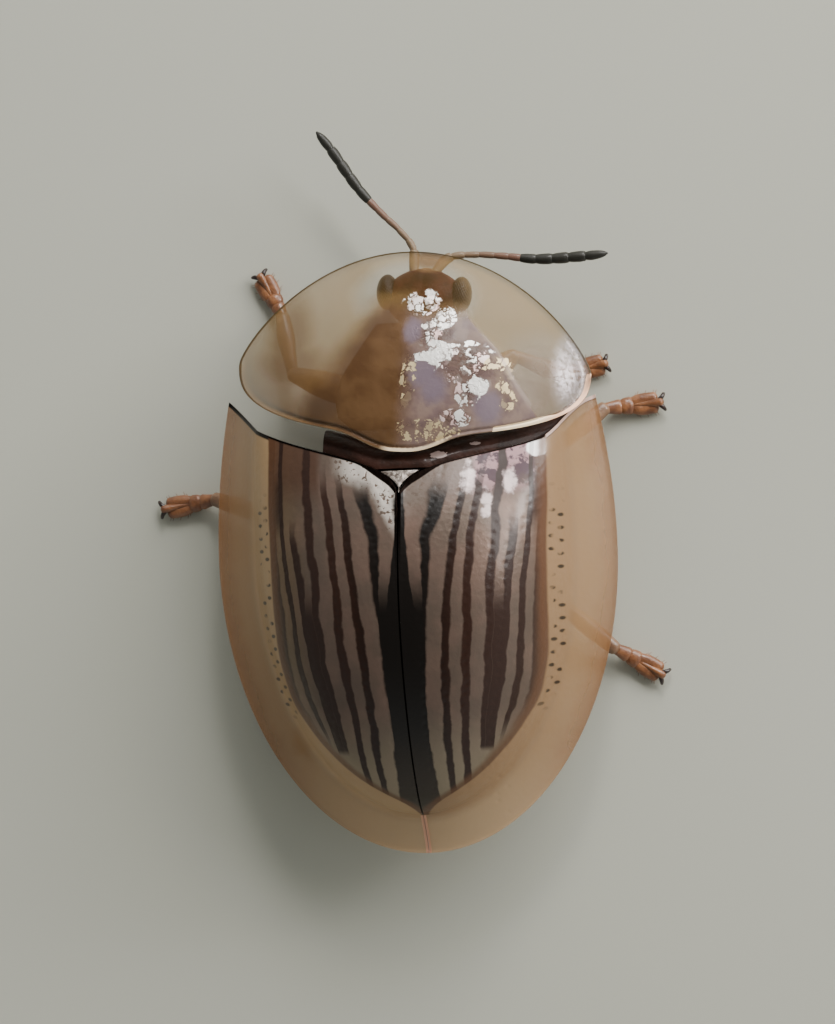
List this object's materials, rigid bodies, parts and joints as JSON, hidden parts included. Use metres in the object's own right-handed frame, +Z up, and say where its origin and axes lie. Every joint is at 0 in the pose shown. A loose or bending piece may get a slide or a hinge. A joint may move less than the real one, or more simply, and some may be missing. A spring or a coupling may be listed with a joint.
{
  "type": "tortoise beetle",
  "caption": "Life-size tortoise beetle with striped domed wing cases, flared clear margins, a shield over the head, bent feelers and walking legs.",
  "frame": {"origin": "on the floor, under the middle of the animal's bounding box", "axes": "+Z up, -Y the way the head points, +X the animal's left side"},
  "size_m": [0.0058, 0.008, 0.0023],
  "materials": {
    "shell": "glossy, dark brown with silvery pink stripes and clear amber margins",
    "shield": "glossy, bronze with a clear beige rim",
    "dark_skin": "satin dark brown",
    "horn": "satin orange brown, the outer feelers black",
    "eye": "glossy black with fine facets"
  },
  "bodies": {
    "root": {"pronotum": "shield", "elytron_left": "shell", "elytron_right": "shell", "scutellum": "shell", "head": "dark_skin", "eye_left": "eye", "eye_right": "eye", "antenna_left": "horn", "antenna_right": "horn", "prothorax": "dark_skin", "thorax": "dark_skin", "abdomen": "dark_skin", "leg_front_left": "horn", "leg_front_right": "horn", "leg_middle_left": "horn", "leg_middle_right": "horn", "leg_hind_left": "horn", "leg_hind_right": "horn"}
  },
  "joints": []
}
